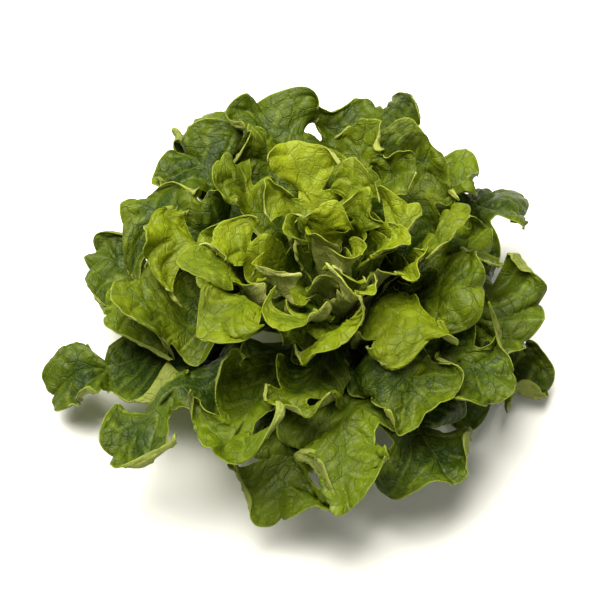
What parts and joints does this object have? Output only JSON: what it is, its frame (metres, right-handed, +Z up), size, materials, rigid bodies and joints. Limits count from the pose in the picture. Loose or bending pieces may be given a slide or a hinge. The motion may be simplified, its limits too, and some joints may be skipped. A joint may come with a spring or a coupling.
{
  "type": "lettuce head",
  "caption": "Loose head of green oak-leaf lettuce: lobed, curled leaves spiralling from a short cut stem on which the head stands.",
  "frame": {"origin": "centre of the flat cut face at the foot of the stem, on the surface the head stands on", "axes": "+Z up along the stem; +X to the picture's right; +Y away from the picture's viewer"},
  "size_m": [0.2827, 0.2904, 0.1159],
  "materials": {
    "stem": "moist cut plant stem",
    "outer_leaf_01": "fresh leaf, slightly glossy",
    "outer_leaf_02": "fresh leaf, slightly glossy",
    "outer_leaf_03": "fresh leaf, slightly glossy",
    "outer_leaf_04": "fresh leaf, slightly glossy",
    "outer_leaf_05": "fresh leaf, slightly glossy",
    "outer_leaf_06": "fresh leaf, slightly glossy",
    "outer_leaf_07": "fresh leaf, slightly glossy",
    "outer_leaf_08": "fresh leaf, slightly glossy",
    "outer_leaf_09": "fresh leaf, slightly glossy",
    "outer_leaf_10": "fresh leaf, slightly glossy",
    "outer_leaf_11": "fresh leaf, slightly glossy",
    "outer_leaf_12": "fresh leaf, slightly glossy",
    "outer_leaf_13": "fresh leaf, slightly glossy",
    "outer_leaf_14": "fresh leaf, slightly glossy",
    "outer_leaf_15": "fresh leaf, slightly glossy",
    "outer_leaf_16": "fresh leaf, slightly glossy",
    "outer_leaf_17": "fresh leaf, slightly glossy",
    "middle_leaf_01": "fresh leaf, slightly glossy",
    "middle_leaf_02": "fresh leaf, slightly glossy",
    "middle_leaf_03": "fresh leaf, slightly glossy",
    "middle_leaf_04": "fresh leaf, slightly glossy",
    "middle_leaf_05": "fresh leaf, slightly glossy",
    "middle_leaf_06": "fresh leaf, slightly glossy",
    "middle_leaf_07": "fresh leaf, slightly glossy",
    "middle_leaf_08": "fresh leaf, slightly glossy",
    "middle_leaf_09": "fresh leaf, slightly glossy",
    "middle_leaf_10": "fresh leaf, slightly glossy",
    "middle_leaf_11": "fresh leaf, slightly glossy",
    "middle_leaf_12": "fresh leaf, slightly glossy",
    "middle_leaf_13": "fresh leaf, slightly glossy",
    "middle_leaf_14": "fresh leaf, slightly glossy",
    "middle_leaf_15": "fresh leaf, slightly glossy",
    "middle_leaf_16": "fresh leaf, slightly glossy",
    "middle_leaf_17": "fresh leaf, slightly glossy",
    "heart_leaf_01": "fresh leaf, slightly glossy",
    "heart_leaf_02": "fresh leaf, slightly glossy",
    "heart_leaf_03": "fresh leaf, slightly glossy",
    "heart_leaf_04": "fresh leaf, slightly glossy",
    "heart_leaf_05": "fresh leaf, slightly glossy",
    "heart_leaf_06": "fresh leaf, slightly glossy",
    "heart_leaf_07": "fresh leaf, slightly glossy",
    "heart_leaf_08": "fresh leaf, slightly glossy",
    "heart_leaf_09": "fresh leaf, slightly glossy",
    "heart_leaf_10": "fresh leaf, slightly glossy",
    "heart_leaf_11": "fresh leaf, slightly glossy",
    "heart_leaf_12": "fresh leaf, slightly glossy",
    "heart_leaf_13": "fresh leaf, slightly glossy",
    "heart_leaf_14": "fresh leaf, slightly glossy",
    "heart_leaf_15": "fresh leaf, slightly glossy",
    "heart_leaf_16": "fresh leaf, slightly glossy",
    "heart_leaf_17": "fresh leaf, slightly glossy"
  },
  "bodies": {
    "root": {"stem": "stem", "outer_leaf_01": "outer_leaf_01", "outer_leaf_02": "outer_leaf_02", "outer_leaf_03": "outer_leaf_03", "outer_leaf_04": "outer_leaf_04", "outer_leaf_05": "outer_leaf_05", "outer_leaf_06": "outer_leaf_06", "outer_leaf_07": "outer_leaf_07", "outer_leaf_08": "outer_leaf_08", "outer_leaf_09": "outer_leaf_09", "outer_leaf_10": "outer_leaf_10", "outer_leaf_11": "outer_leaf_11", "outer_leaf_12": "outer_leaf_12", "outer_leaf_13": "outer_leaf_13", "outer_leaf_14": "outer_leaf_14", "outer_leaf_15": "outer_leaf_15", "outer_leaf_16": "outer_leaf_16", "outer_leaf_17": "outer_leaf_17", "middle_leaf_01": "middle_leaf_01", "middle_leaf_02": "middle_leaf_02", "middle_leaf_03": "middle_leaf_03", "middle_leaf_04": "middle_leaf_04", "middle_leaf_05": "middle_leaf_05", "middle_leaf_06": "middle_leaf_06", "middle_leaf_07": "middle_leaf_07", "middle_leaf_08": "middle_leaf_08", "middle_leaf_09": "middle_leaf_09", "middle_leaf_10": "middle_leaf_10", "middle_leaf_11": "middle_leaf_11", "middle_leaf_12": "middle_leaf_12", "middle_leaf_13": "middle_leaf_13", "middle_leaf_14": "middle_leaf_14", "middle_leaf_15": "middle_leaf_15", "middle_leaf_16": "middle_leaf_16", "middle_leaf_17": "middle_leaf_17", "heart_leaf_01": "heart_leaf_01", "heart_leaf_02": "heart_leaf_02", "heart_leaf_03": "heart_leaf_03", "heart_leaf_04": "heart_leaf_04", "heart_leaf_05": "heart_leaf_05", "heart_leaf_06": "heart_leaf_06", "heart_leaf_07": "heart_leaf_07", "heart_leaf_08": "heart_leaf_08", "heart_leaf_09": "heart_leaf_09", "heart_leaf_10": "heart_leaf_10", "heart_leaf_11": "heart_leaf_11", "heart_leaf_12": "heart_leaf_12", "heart_leaf_13": "heart_leaf_13", "heart_leaf_14": "heart_leaf_14", "heart_leaf_15": "heart_leaf_15", "heart_leaf_16": "heart_leaf_16", "heart_leaf_17": "heart_leaf_17"}
  },
  "joints": []
}
